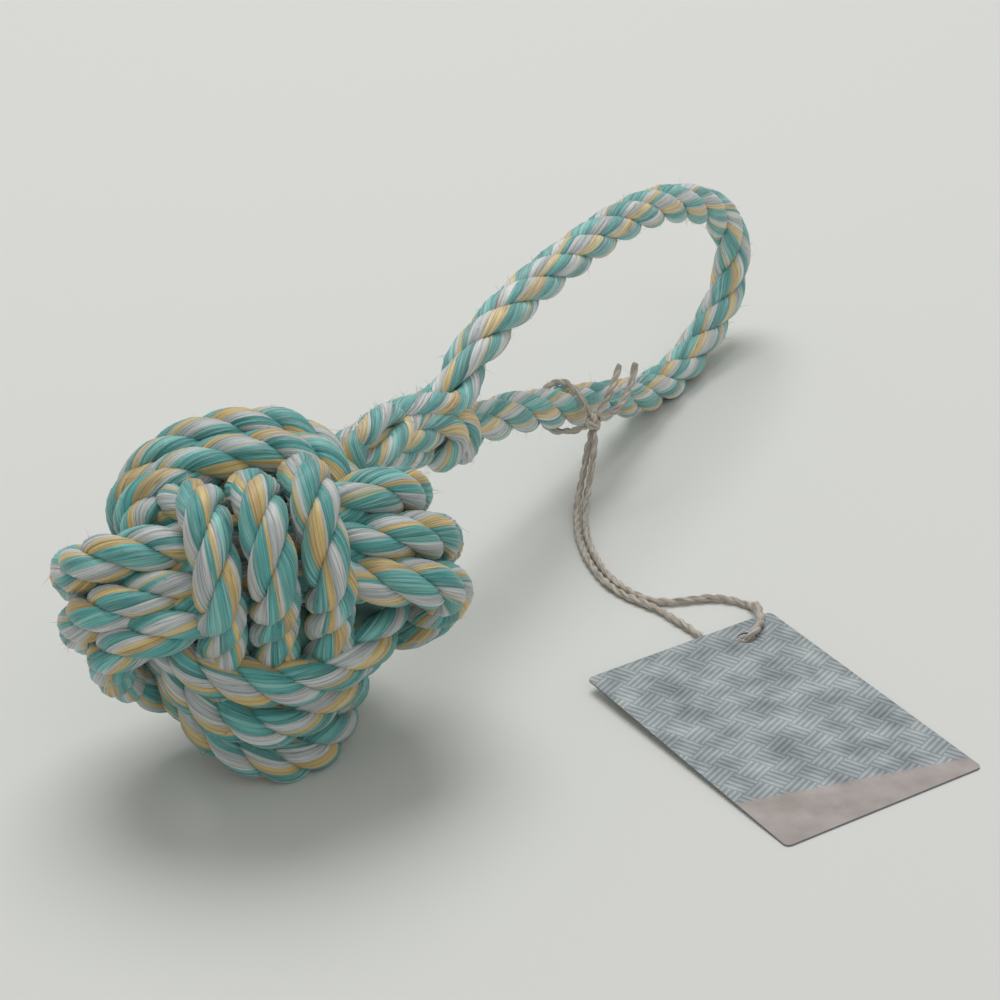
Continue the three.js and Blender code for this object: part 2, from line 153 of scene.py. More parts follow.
ropeRoute = {
    "knotDia": 11.5 * mm,
    "turnGap": 0.7 * mm,
    "swells": (0.14, 0.07, -0.01),  # how far each set bulges
    "outerDraw": 0.35,  # how much less its outer turns do
    "turnStep": 0.4 * mm,
    "shiftOver": 7.25,  # pitches of rope over which a turn steps aside
    "crossing": (1.0, 1.5),  # pitches out along a set where it starts to cross the next, and over which
    "under": 2.6,  # pitches each way that a set lies under the next
    "joins": ((0.8, 3.4), (1.8, 1.6), (2.1, 2.7)),  # pitches that each bend between sets reaches out and in
    "knotTurn": (-23, 16, -46),  # degrees about X, Y and Z
    # degrees that hauling tight has turned the knot, front upwards and round the sight line
    "hauled": (-10, 4),
    "drawIn": 0.05,  # the outer turns of a set lie this much closer in
    "pinch": 0.56,  # a set closes up where the next one crosses it
    "frontLift": 0.4,  # pitches that the front turns sit high
    "rounded": (0.15, 0.25, 0.8),  # how far each set is drawn from a square outline to an oval
    "scoop": 1.05,  # pitches that the underside is drawn up towards the front
    "settle": 0.3,  # pitches that the top is drawn down towards the front
    "crown": 0.25,  # pitches that the topmost turn stands up
    "lean": (-0.5, -0.42, -0.45),  # pitches that the underside, the left and the top are drawn to the left
    "taper": 0.38,  # how much narrower the underside's far turn is
    "heave": 0.36,  # pitches that the right side stands up
    "sag": 0.45,  # pitches that the lower right is pushed out
    "firm": 3.2,  # pitches from the neck over which all this dies away
    "exitRise": 20,  # degrees, of the place where the rope leaves the ball
    "exitPitches": 3.93,  # from the ball's middle to that place
    "neckDip": 10,  # degrees that the neck slopes down
    # in mm from the neck's root, along X and up
    "neck": [[10, -1.8], [18, -3.2], [25, -4.5], [31, -5.3], [36, -4.2], [41, -0.9], [46, 2]],
    "handle": [
        [62, 6], [74, 7.6], [86, 8.3], [100, 8.3], [114, 8], [128, 7.5], [142, 6.2], [157, 3.6],
        [172, -0.6], [186, -6], [198, -12.6], [206.5, -20], [210.5, -28.5], [209.5, -36.5],
        [204, -42.8], [195.5, -47.3], [184, -50.9], [168, -53.5], [154, -52.6], [140, -49.4],
        [122, -43], [105, -36.8], [96, -33.4], [80, -27.6], [66, -22.2],
    ],
    "lowerLegRoot": [39, -15.6],
    "step": 1.25 * mm,
}
pitch = ropeRoute["knotDia"] + ropeRoute["turnGap"]
turnLength = (12 + 2 * math.pi) * pitch  # straight legs and four quarter bends


# one turn in pitches: each leg has a start, a way and a length, each corner a centre and its first angle
def turnOutline():
    legs = [
        ((3, 0), (0, 1), 1), ((2, 1), 0), ((2, 2), (-1, 0), 4), ((-2, 1), 90), ((-3, 1), (0, -1), 2),
        ((-2, -1), 180), ((-2, -2), (1, 0), 4), ((2, -1), 270), ((3, -1), (0, 1), 1),
    ]
    outline = []
    for leg in legs:
        if len(leg) == 3:
            steps = np.linspace(0, leg[2], 40)[:, None]
            outline.append(np.array(leg[0]) + steps * np.array(leg[1]))
        else:
            angles = np.radians(leg[1]) + np.linspace(0, math.pi / 2, 60)
            outline.append(np.array(leg[0]) + np.stack([np.cos(angles), np.sin(angles)], axis=1))
    return np.vstack(outline) * pitch


def easedRamp(share, soft=0.22):
    share = np.clip(share, 0, 1)
    slope = 1 / (1 - soft)
    middle = slope * (share - soft / 2)
    low = slope * share ** 2 / (2 * soft)
    high = 1 - slope * (1 - share) ** 2 / (2 * soft)
    return np.where(share < soft, low, np.where(share > 1 - soft, high, middle))


# three turns side by side, stepping over by a pitch once a turn
def turnSet(axes, swell, rounded, start, stop, side, shiftAt, shifts, crosses=False, crossed=False):
    outline = turnOutline()
    girth = lengthAlong(outline)
    way = math.copysign(1, stop - start)
    along = np.linspace(start, stop, int(abs(stop - start) / ropeRoute["turnStep"]))
    across = np.full_like(along, side * pitch)
    for k in range(shifts):
        centre = shiftAt + way * turnLength * k
        across -= side * pitch * easedRamp(way * (along - centre) / (ropeRoute["shiftOver"] * pitch) + 0.5)
    at = np.mod(along, turnLength) * girth[-1] / turnLength
    reach = np.interp(at, girth, outline[:, 0])
    short = np.interp(at, girth, outline[:, 1])
    angle = np.arctan2(short / 2, reach / 3)
    reach = mixed(reach, 3 * pitch * np.cos(angle), rounded)
    short = mixed(short, 2 * pitch * np.sin(angle), rounded)
    outer = np.minimum(1, np.abs(across) / pitch) ** 2
    draw = 1 - ropeRoute["outerDraw"] * outer
    reach = reach * (1 + swell * draw * (1 - (short / (2 * pitch)) ** 2))
    reach = reach * (1 - ropeRoute["drawIn"] * outer)
    crossing = rampUp(np.abs(reach) / pitch, *ropeRoute["crossing"])
    if crossed:
        under = 1 - ease(np.abs(reach) / (ropeRoute["under"] * pitch))
        across = across * (1 - ropeRoute["pinch"] * under)
        across = across + ropeRoute["frontLift"] * pitch * under * (short < 0)
    if crosses:
        short = short * (1 - 0.5 * ropeRoute["pinch"] * crossing)
        short = short + ropeRoute["frontLift"] * pitch * crossing * (reach < 0)
    places = np.zeros((len(along), 3))
    for axis, values in zip(axes, (reach, short, across)):
        places[:, axis] = values
    return places


def bendBetween(before, after, reachOut, reachIn):
    out = before[-1] + unit(before[-1] - before[-2]) * reachOut * pitch
    into = after[0] - unit(after[1] - after[0]) * reachIn * pitch
    t = np.linspace(0, 1, 120)[1:-1, None]
    return (
        (1 - t) ** 3 * before[-1] + 3 * (1 - t) ** 2 * t * out
        + 3 * (1 - t) * t ** 2 * into + t ** 3 * after[0]
    )


def turned(degrees):
    x, y, z = (math.radians(a) for a in degrees)
    spins = [Matrix.Rotation(x, 3, "X"), Matrix.Rotation(y, 3, "Y"), Matrix.Rotation(z, 3, "Z")]
    return np.array(spins[0] @ spins[1] @ spins[2])


dip = math.radians(ropeRoute["neckDip"])
rise = math.radians(ropeRoute["exitRise"])
neckAxis = np.array([math.cos(dip), 0, -math.sin(dip)])
neckUp = np.array([math.sin(dip), 0, math.cos(dip)])
towardsViewer = np.array([0.0, -1.0, 0.0])
exitPoint = np.array([math.cos(rise), 0, math.sin(rise)]) * ropeRoute["exitPitches"] * pitch
neckRoot = ballMiddle + exitPoint + neckAxis * ropeRoute["knotDia"]


def fromRoot(points):
    points = np.asarray(points, float) * mm
    return neckRoot + np.stack([points[:, 0], 0 * points[:, 0], points[:, 1]], axis=1)


# hauling tight by hand leaves the knot lopsided
# in pitches, with X to the right, Y away from the viewer and Z up
def drawnTight(line):
    x, y, z = line.T
    below = rampUp(-z, 0, 3)
    above = rampUp(z, 0, 3)
    lean = ropeRoute["lean"]
    farBelow = below * np.clip(0.5 + y / 2, 0.1, 1)
    xNew = x * (1 - ropeRoute["taper"] * farBelow) + lean[0] * farBelow
    xNew = xNew + lean[1] * rampUp(-x, 1.1, 1.5) * rampUp(z, -0.4, 2)
    xNew = xNew + lean[2] * rampUp(-x, -0.4, 1.6) * rampUp(z, 1, 1.2) * rampUp(y, -2.2, 1)
    xNew = xNew + ropeRoute["sag"] * rampUp(x, 0.6, 1.6) * rampUp(-z, -0.4, 1.2)
    zNew = z + ropeRoute["scoop"] * below * np.clip(0.5 - y / 2, 0, 1.35)
    zNew = zNew - ropeRoute["settle"] * above * np.clip(-y, 0, 1)
    zNew = zNew + ropeRoute["crown"] * above * np.clip(1 - np.abs(y), 0, 1)
    zNew = zNew + ropeRoute["heave"] * rampUp(x, 0, 2.5) * rampUp(z, -1.3, 1.3)
    return np.stack([xNew, y, zNew], axis=1)


def knotSpin():
    sight = Vector(photoView["forward"])
    lifted = Matrix.Rotation(math.radians(ropeRoute["hauled"][0]), 3, sight.cross(photoView["up"]))
    rolled = Matrix.Rotation(math.radians(ropeRoute["hauled"][1]), 3, sight)
    return np.array(rolled @ lifted) @ turned(ropeRoute["knotTurn"])


def knotLine():
    spin = knotSpin()
    leaves = spin.T @ exitPoint
    end = leaves + spin.T @ neckAxis * ropeRoute["knotDia"]
    full = turnLength
    swells = ropeRoute["swells"]
    rounded = ropeRoute["rounded"]
    lead = np.linspace(end, leaves, 30)
    first = turnSet(
        (0, 1, 2), swells[0], rounded[0], start=-0.5 * pitch, stop=-2.5 * full - 1.1 * pitch,
        side=1, shiftAt=-0.75 * full, shifts=2, crossed=True,
    )
    second = turnSet(
        (1, 2, 0), swells[1], rounded[1], start=-0.25 * full + pitch, stop=-3 * full - 1.2 * pitch,
        side=-1, shiftAt=-full, shifts=3, crosses=True,
    )
    third = turnSet(
        (2, 0, 1), swells[2], rounded[2], start=0.5 * full + 0.9 * pitch, stop=3.25 * full - 1.3 * pitch,
        side=1, shiftAt=1.25 * full + 2.1 * pitch, shifts=2,
    )
    joins = ropeRoute["joins"]
    line = np.vstack([
        lead, bendBetween(lead, first, *joins[0]),
        first, bendBetween(first, second, *joins[1]),
        second, bendBetween(second, third, *joins[2]),
        third,
    ])
    given = ease(lengthAlong(line) / (ropeRoute["firm"] * pitch))[:, None]
    return mixed(line, drawnTight(line / pitch) * pitch, given) @ spin.T + ballMiddle


def wholeRope():
    knot = knotLine()[::-1]
    rest = [[0, 0]] + ropeRoute["neck"] + ropeRoute["handle"] + [ropeRoute["lowerLegRoot"]]
    line = evenLine(np.vstack([knot, smoothRoute(fromRoot(rest))[1:]]), ropeRoute["step"])
    root = int(np.argmin(np.linalg.norm(line - neckRoot, axis=1)))
    ways = directions(line)
    sides = carrySide(ways, neckUp, root)
    return {"line": line, "ways": ways, "sides": sides, "along": lengthAlong(line), "root": root}


rope = wholeRope()
ropeAcross = np.cross(rope["ways"], rope["sides"])
fromNeckRoot = (rope["line"] - neckRoot) @ neckAxis  # along the neck's axis, of use near its root
rootAlong = rope["along"][rope["root"]]
print("rope line, m:", round(float(rope["along"][-1]), 3))

# the rope's lay: three strands round the middle line, each a bundle of flat yarns turned the other way

ropeLay = {
    "lay": 32 * mm,
    "handleLay": 48 * mm,  # slacker where the rope isn't hauled tight
    "ring": 3.15 * mm,  # from the rope's middle to a strand's middle
    "strand": 2.85 * mm,  # a strand's radius
    "pressed": (0.97, 1.12),  # of the radius, outwards and sideways, where strands press on each other
    "slackens": (20 * mm, 45 * mm),  # past the neck's root, from the tight lay to the slack one
    "yarnTurn": 27 * mm,
    "yarns": 12,
    "perYarn": 4,  # points round the strand for each yarn
    "groove": 0.055,
    "uneven": 0.06,
    "waves": (60, 240),  # radians a metre, of what is uneven
    "wander": 0.15,  # radians that a yarn strays from its place
    "widths": 0.3,  # how unlike the yarns' widths are
    "floor": 0.15 * mm,  # pressed flat where it lies on the floor
    "sunk": (0.985, 0.92),  # of the radius, at the two rings past an end
    "seed": 100,
}
uvPerMetre = 10
# the eye splice; its places are in mm along the neck from its root, towards the viewer and up
splice = {
    "lay": 113 * mm,
    "strand": 2.95 * mm,
    "reach": (-13, 40),  # along the neck
    "fades": (6, 8),  # over which the splice's lay comes and goes
    "zone": (18, 34),  # steps of the line from the root to its middle, and half its length
    "turn": (10, 118),  # a place along the neck, and the first standing strand's angle there in degrees
    "rings": [[-13, 3.3], [-7, 3.2], [0, 4.4], [9, 5.3], [20, 5.2], [30, 4.6], [40, 3.3]],
    # the tucked strands, from the lower leg back to the ball
    "tucks": [
        [
            [36, -4.6, -9.4], [29, -3.4, -10], [23, -0.6, -9.6], [17, 1.6, -8.4], [11, 3.2, -7.2],
            [5, 4, -6], [-1, 4.2, -5], [-7, 3.6, -4.4], [-12, 2, -3], [-16, 0, -1],
        ],
        [
            [37, 0.4, -7.2], [32.5, -1.2, -9], [28, 0, -11.6], [25, 3.2, -12], [26.6, 6, -9.2],
            [28, 6.8, -5.8], [26.6, 6, -3], [23.6, 4.2, -1], [17, 2.4, 1], [10, 2.4, 1.4], [5, 3.8, 1.6],
            [1.5, 5.2, 1.4], [-2, 5.9, 0.8], [-8, 6, -0.8], [-13, 4.2, -2.4], [-16, 1.5, -1],
        ],
        [
            [38.8, 2.2, -11.8], [36.2, 3.2, -12.8], [34.2, 5.4, -11], [33.6, 6.8, -7.2],
            [33.4, 6.6, -3.8], [31.6, 4.6, -0.8], [28, 1.6, 0.2], [22, -1.6, 0.6], [15, -1.8, 0.8],
            [10, -0.4, 1.4], [6, 1, 3.6], [2, 2, 6.4], [-3, 2.4, 7], [-8, 3, 6.2], [-13, 3, 4], [-16, 1, 1],
        ],
    ],
    "legStrands": (1, 0, 2),  # which of the leg's strands each tucked one is
    "legEnds": (44 * mm, 40 * mm),  # in X from the neck's root, where the handle's two legs end
}

zoneMiddle, zoneHalf = splice["zone"]
neckZone = np.abs(np.arange(len(rope["line"])) - rope["root"] - zoneMiddle) < zoneHalf
intoSplice = rampUp(fromNeckRoot / mm, splice["reach"][0], splice["fades"][0])
outOfSplice = rampUp(-fromNeckRoot / mm, -splice["reach"][1], splice["fades"][1])
inSplice = np.where(neckZone, intoSplice * outOfSplice, 0)
slackFrom, slackTo = ropeLay["slackens"]
pastNeck = rampUp(rope["along"] - rootAlong, slackFrom, slackTo - slackFrom)
layHere = mixed(ropeLay["lay"], ropeLay["handleLay"], pastNeck)
layHere = mixed(layHere, splice["lay"], inSplice)
layAngle = np.cumsum(2 * math.pi / layHere) * ropeRoute["step"]
turnAt = rope["root"] + int(round(splice["turn"][0] * mm / ropeRoute["step"]))
layAngle = layAngle - layAngle[turnAt] + math.radians(splice["turn"][1])
yarnAngle = -2 * math.pi * rope["along"] / ropeLay["yarnTurn"]
ringStops = np.array(splice["rings"]).T * mm
ringHere = np.where(neckZone, np.interp(fromNeckRoot, *ringStops), ropeLay["ring"])
strandHere = mixed(ropeLay["strand"], splice["strand"], inSplice)


# a strand is a tube with one ridge for each yarn; the UV map runs along it and round it
def strandTube(centres, ways, widths, sides, turns, seed, along, outwards, press):
    chance = np.random.default_rng(seed)
    count = ropeLay["yarns"] * ropeLay["perYarn"]
    sides = unit(sides - ways * np.sum(sides * ways, axis=1)[:, None])
    uprights = np.cross(ways, sides)
    k = np.arange(count)
    ridge = np.sin(math.pi * (k % ropeLay["perYarn"]) / ropeLay["perYarn"]) ** 0.7
    yarn = k // ropeLay["perYarn"]
    waves = chance.uniform(*ropeLay["waves"], (ropeLay["yarns"], 3))
    phases = chance.uniform(0, 2 * math.pi, (ropeLay["yarns"], 3))
    uneven = sum(np.sin(along[:, None] * waves[:, n] + phases[:, n]) for n in range(3)) / 3
    radii = 1 - ropeLay["groove"] * (1 - ridge)[None, :]
    radii = radii + ropeLay["uneven"] * uneven[:, yarn] * ridge[None, :]
    radii = radii * np.asarray(widths)[:, None]
    shares = 1 + ropeLay["widths"] * chance.uniform(-1, 1, ropeLay["yarns"])
    edges = np.concatenate([[0], np.cumsum(shares) / shares.sum()])
    stray = ropeLay["wander"] * np.sin(along[:, None] * waves[:, 0] * 0.7 + phases[:, 1])
    stray = np.hstack([stray, stray[:, :1]])
    within = (k % ropeLay["perYarn"]) / ropeLay["perYarn"]
    angles = turns[:, None] + 2 * math.pi * mixed(edges[yarn], edges[yarn + 1], within)[None, :]
    angles = angles + mixed(stray[:, yarn], stray[:, yarn + 1], within[None, :])
    offsets = radii[:, :, None] * (
        np.cos(angles)[:, :, None] * sides[:, None, :] + np.sin(angles)[:, :, None] * uprights[:, None, :]
    )
    sideways = unit(np.cross(ways, outwards))
    for axis, share in zip((outwards, sideways), ropeLay["pressed"]):
        reach = np.sum(offsets * axis[:, None, :], axis=2) * ((share - 1) * press)[:, None]
        offsets = offsets + reach[:, :, None] * axis[:, None, :]
    points = centres[:, None, :] + offsets
    points[:, :, 2] = np.maximum(points[:, :, 2], ropeLay["floor"])
    return tubeFaces(points, along * uvPerMetre)


# rings of points become a closed tube, with a fan at each end
def tubeFaces(points, lengthwise):
    rings, count = points.shape[:2]
    i = np.arange(rings - 1)[:, None]
    k = np.arange(count)[None, :]
    after = (k + 1) % count
    quads = np.stack(np.broadcast_arrays(
        i * count + k, i * count + after, (i + 1) * count + after, (i + 1) * count + k,
    ), axis=-1).reshape(-1, 4)
    u0 = np.broadcast_to(lengthwise[:-1, None], (rings - 1, count))
    u1 = np.broadcast_to(lengthwise[1:, None], (rings - 1, count))
    v0 = np.broadcast_to(k / count, (rings - 1, count))
    v1 = np.broadcast_to((k + 1) / count, (rings - 1, count))
    corners = np.stack([
        np.stack([u0, v0], axis=-1), np.stack([u0, v1], axis=-1),
        np.stack([u1, v1], axis=-1), np.stack([u1, v0], axis=-1),
    ], axis=2).reshape(-1, 4, 2)
    middles = np.stack([points[0].mean(axis=0), points[-1].mean(axis=0)])
    verts = np.vstack([points.reshape(-1, 3), middles])
    last = (rings - 1) * count
    ends = []
    for n in range(count):
        ends.append((rings * count, (n + 1) % count, n))
        ends.append((rings * count + 1, last + n, last + (n + 1) % count))
    endUv = np.zeros((len(ends), 3, 2))
    endUv[0::2, :, 0] = lengthwise[0]
    endUv[1::2, :, 0] = lengthwise[-1]
    endUv[:, :, 1] = (np.arange(len(ends)) // 2)[:, None] / count
    return {"verts": verts, "quads": quads, "corners": corners, "ends": np.array(ends), "endUv": endUv}


# fine loose fibres that stand off a tube, each a thin three-sided spike
looseFibre = {
    "sizes": (0.35, 1),  # of the reach
    "rise": 0.55,  # of its size, off the tube
    "lie": 0.9,  # of its size, along the tube
    "curl": 0.35,
    "kink": 0.12,
    "tip": 0.25,  # of its thickness, at the tip
    "floor": 0.3 * mm,
}


def looseFibres(tube, count, reach, thick, seed):
    chance = np.random.default_rng(seed)
    roots = chance.choice(len(tube["quads"]), count, replace=False)
    pieces = []
    for quad in roots:
        a, b, d = tube["verts"][tube["quads"][quad, [0, 1, 3]]]
        outwards = np.cross(b - a, d - a)
        if np.linalg.norm(outwards) < 1e-14:  # a face squashed to nothing on the floor
            continue
        outwards = unit(outwards)
        lengthways = unit(d - a)
        lean = chance.normal(0, 1, 3)
        size = reach * chance.uniform(*looseFibre["sizes"])
        t = np.linspace(0, 1, 4)[:, None]
        curl = chance.normal(0, looseFibre["curl"], 3)
        spine = a + size * (
            outwards * looseFibre["rise"] * t + lengthways * chance.choice([-1, 1]) * looseFibre["lie"] * t
            + curl * t ** 2 + looseFibre["kink"] * lean * np.sin(5 * t)
        ) - outwards * thick
        spine[:, 2] = np.maximum(spine[:, 2], looseFibre["floor"])
        ways = directions(spine)
        sides = carrySide(ways, unit(np.cross(ways[0], outwards) + 1e-9))
        uprights = np.cross(ways, sides)
        angles = np.arange(3) * 2 * math.pi / 3
        width = (thick * (1 - (1 - looseFibre["tip"]) * t))[:, :, None]
        rim = spine[:, None, :] + width * (
            np.cos(angles)[None, :, None] * sides[:, None, :]
            + np.sin(angles)[None, :, None] * uprights[:, None, :]
        )
        fibre = tubeFaces(rim, np.full(4, tube["corners"][quad, 0, 0]))
        fibre["corners"][:, :, 1] = tube["corners"][quad, :, 1].mean()
        fibre["endUv"][:, :, 1] = tube["corners"][quad, :, 1].mean()
        pieces.append(fibre)
    return pieces


# tubes become one mesh, each with its own material
def meshFrom(name, tubes, slots, materials):
    verts, faces, uvs, slotOf, smooth = [], [], [], [], []
    start = 0
    for tube, slot in zip(tubes, slots):
        verts.append(tube["verts"])
        faces.extend((tube["quads"] + start).tolist())
        faces.extend((tube["ends"] + start).tolist())
        uvs.append(tube["corners"].reshape(-1, 2))
        uvs.append(tube["endUv"].reshape(-1, 2))
        slotOf.extend([slot] * (len(tube["quads"]) + len(tube["ends"])))
        smooth.extend([np.ones(len(tube["quads"]), bool), np.zeros(len(tube["ends"]), bool)])
        start += len(tube["verts"])
    mesh = bpy.data.meshes.new(name)
    mesh.from_pydata(np.vstack(verts).tolist(), [], faces)
    layer = mesh.uv_layers.new(name="lengthwise")
    layer.data.foreach_set("uv", np.vstack(uvs).ravel().astype(np.float32))
    mesh.polygons.foreach_set("use_smooth", np.concatenate(smooth))
    for material in materials:
        mesh.materials.append(material)
    mesh.polygons.foreach_set("material_index", np.array(slotOf, np.int32))
    mesh.update()
    piece = bpy.data.objects.new(name, mesh)
    bpy.context.collection.objects.link(piece)
    return piece


# finishes


def newMaterial(name):
    material = bpy.data.materials.new(name)
    material.use_nodes = True
    tree = material.node_tree
    return material, tree, tree.nodes["Principled BSDF"]


def addNode(tree, kind, **settings):
    node = tree.nodes.new(kind)
    for key, value in settings.items():
        setattr(node, key, value)
    return node


def feed(tree, node, *values):
    for index, value in enumerate(values):
        if hasattr(value, "links"):
            tree.links.new(value, node.inputs[index])
        else:
            node.inputs[index].default_value = value
    return node.outputs[0]


def sums(tree, operation, *values):
    return feed(tree, addNode(tree, "ShaderNodeMath", operation=operation), *values)


def between(tree, value, low, high, outLow, outHigh):
    return feed(tree, addNode(tree, "ShaderNodeMapRange"), value, low, high, outLow, outHigh)


# from a colour as seen, 0 to 255, to the light that it stands for
def linear(colour):
    light = (((c / 255 + 0.055) / 1.055) ** 2.4 if c > 10 else c / 255 / 12.92 for c in colour)
    return (*light, 1.0)


def colourRamp(tree, value, stops, interpolation="LINEAR"):
    ramp = addNode(tree, "ShaderNodeValToRGB")
    ramp.color_ramp.interpolation = interpolation
    elements = ramp.color_ramp.elements
    for n, (position, colour) in enumerate(stops):
        stop = elements[n] if n < 2 else elements.new(position)
        stop.position = position
        stop.color = linear(colour)
    tree.links.new(value, ramp.inputs[0])
    return ramp.outputs[0]


def addNoise(tree, vector, scale, detail=2.0, roughness=0.5):
    noise = addNode(tree, "ShaderNodeTexNoise")
    noise.inputs["Scale"].default_value = scale
    noise.inputs["Detail"].default_value = detail
    noise.inputs["Roughness"].default_value = roughness
    tree.links.new(vector, noise.inputs["Vector"])
    return noise.outputs[0]


def addBump(tree, shader, height, strength, distance):
    bump = addNode(tree, "ShaderNodeBump")
    bump.inputs["Strength"].default_value = strength
    bump.inputs["Distance"].default_value = distance
    tree.links.new(height, bump.inputs["Height"])
    tree.links.new(bump.outputs[0], shader.inputs["Normal"])


# the rope's yarns

yarnColours = {
    "t": (78, 179, 174),  # teal
    "a": (116, 201, 193),  # pale teal
    "d": (68, 159, 155),  # deep teal
    "w": (212, 216, 214),  # white
    "s": (186, 194, 194),  # grey
    "y": (224, 192, 112),  # gold
    "o": (204, 170, 100),  # deep gold
}
yarnOrders = ["wswyytdtawyt", "tdawsyttdwwy", "yottatswwtdw"]  # round each strand
# noise drawn out along the strand: its scales along and round, its seed, its detail and its roughness
yarnStreaks = {
    "clump": (5.0, 1.7, 9, 2.0, 0.5),
    "fibre": (11.0, 6.5, 0, 4.0, 0.6),
    "slow": (2.2, 7.3, 5, 2.0, 0.5),
    "paintedCreaseShade": (4.0, 1.3, 21, 2.0, 0.5),
}
yarnFinish = {
    "mingle": 0.045,  # of the way round, that the fibres of neighbouring yarns stray
    "rim": (0.16, 0.84),  # painted shade at each yarn's edge, in the grooves between yarns: how wide, and how much of its colour is left
    "paintedCreaseShade": (0.03, 0.58),  # fine dark lines, likewise
    "noise": (0.3, 0.7),  # the part of the noise that the shades follow
    "fibreShade": (0.66, 1.18),
    "slowShade": (0.8, 1.12),
    "paling": (-25 * mm, 45 * mm),  # from the neck's root, where the rope is drawn paler and greyer
    "palingValue": (1.0, 1.24),  # on the ball and on the handle
    "palingSaturation": (0.92, 0.78),
    # painted highlight: a pale colour mixed in as silky streaks where the fibre and clump noise is high;
    # its colour, the part of the noise it follows, and how much at most
    "paintedHighlight": (214, 228, 224),
    "highlightNoise": (0.5, 0.66),
    "highlightShare": 0.5,
    "bump": (0.7, 0.35 * mm),
    "roughness": 0.38,
    "specular": 0.5,
    "sheen": (0.25, 0.4),
}


def streaks(tree, along, around, seed, kind):
    alongScale, aroundScale, seedStep, detail, roughness = yarnStreaks[kind]
    spot = addNode(tree, "ShaderNodeCombineXYZ")
    alongSpot = sums(tree, "MULTIPLY", along, alongScale)
    aroundSpot = sums(tree, "MULTIPLY", around, aroundScale)
    feed(tree, spot, alongSpot, aroundSpot, float(seed + seedStep))
    return addNoise(tree, spot.outputs[0], 1.0, detail, roughness)


def yarnMaterial(name, order, seed):
    material, tree, shader = newMaterial(name)
    finish = yarnFinish
    uv = addNode(tree, "ShaderNodeUVMap", uv_map="lengthwise")
    split = addNode(tree, "ShaderNodeSeparateXYZ")
    tree.links.new(uv.outputs["UV"], split.inputs[0])
    along, around = split.outputs[0], split.outputs[1]
    yarnAt = sums(tree, "MULTIPLY", around, float(len(order)))
    clump = streaks(tree, along, yarnAt, seed, "clump")
    fibre = streaks(tree, along, yarnAt, seed, "fibre")
    slow = streaks(tree, along, sums(tree, "FLOOR", yarnAt), seed, "slow")
    paintedCreaseShade = streaks(tree, along, yarnAt, seed, "paintedCreaseShade")
    mingled = between(tree, clump, 0.25, 0.75, -finish["mingle"], finish["mingle"])
    strayed = sums(tree, "ADD", around, mingled)
    stops = [(n / len(order), yarnColours[letter]) for n, letter in enumerate(order)]
    colour = colourRamp(tree, sums(tree, "FRACT", strayed), stops, "CONSTANT")
    # painted shade: thin dark lines where the crease noise is near its middle
    creased = sums(tree, "ABSOLUTE", sums(tree, "SUBTRACT", paintedCreaseShade, 0.5))
    palingFrom, palingTo = ((rootAlong + reach) * uvPerMetre for reach in finish["paling"])
    paling = between(tree, along, palingFrom, palingTo, 0.0, 1.0)
    # painted shade: each yarn drawn darker towards its edges, where the grooves between yarns lie
    rim = sums(tree, "PINGPONG", yarnAt, 0.5)
    toneAndPaintedShade = between(tree, rim, 0.0, *finish["rim"], 1.0)
    # times random tone along the fibres and the yarns, the painted shade of fine creases, and the paling
    # past the neck's root
    for other in (
        between(tree, fibre, *finish["noise"], *finish["fibreShade"]),
        between(tree, slow, *finish["noise"], *finish["slowShade"]),
        between(tree, creased, 0.0, *finish["paintedCreaseShade"], 1.0),
        between(tree, paling, 0.0, 1.0, *finish["palingValue"]),
    ):
        toneAndPaintedShade = sums(tree, "MULTIPLY", toneAndPaintedShade, other)
    tint = addNode(tree, "ShaderNodeHueSaturation")
    tree.links.new(between(tree, paling, 0.0, 1.0, *finish["palingSaturation"]), tint.inputs["Saturation"])
    tree.links.new(colour, tint.inputs["Color"])
    tree.links.new(toneAndPaintedShade, tint.inputs["Value"])
    raised = sums(tree, "ADD", fibre, clump)
    # painted highlight: pale silky streaks mixed over the yarn colour
    highlightField = sums(tree, "MULTIPLY", raised, 0.5)
    paintedHighlight = addNode(tree, "ShaderNodeMix", data_type="RGBA")
    highlightHere = between(tree, highlightField, *finish["highlightNoise"], 0.0, finish["highlightShare"])
    tree.links.new(highlightHere, paintedHighlight.inputs["Factor"])
    tree.links.new(tint.outputs[0], paintedHighlight.inputs[6])
    paintedHighlight.inputs[7].default_value = linear(finish["paintedHighlight"])
    tree.links.new(paintedHighlight.outputs[2], shader.inputs["Base Color"])
    addBump(tree, shader, raised, *finish["bump"])
    shader.inputs["Roughness"].default_value = finish["roughness"]
    shader.inputs["Specular IOR Level"].default_value = finish["specular"]
    shader.inputs["Sheen Weight"].default_value = finish["sheen"][0]
    shader.inputs["Sheen Roughness"].default_value = finish["sheen"][1]
    return material


strandFinishes = []
for n, order in enumerate(yarnOrders):
    strandFinishes.append(yarnMaterial(f"strandYarns{n + 1}", order, 3 * n + 1))
print("rope finishes made")

# the handle comes first, as a cord: three strands in one piece, from the splice round to the splice again

handleRope = {
    "dia": 12 * mm,
    "bend": (-13.4 * mm, 4.0 * mm),  # in X, where the neck's turn gives way to the handle's
    "loose": {"fibres": 260, "reach": 2.8 * mm, "thick": 0.07 * mm, "seed": 40},
}


def strandCentres(n):
    angle = (layAngle + 2 * math.pi * n / 3)[:, None]
    return rope["line"] + ringHere[:, None] * (np.cos(angle) * rope["sides"] + np.sin(angle) * ropeAcross)


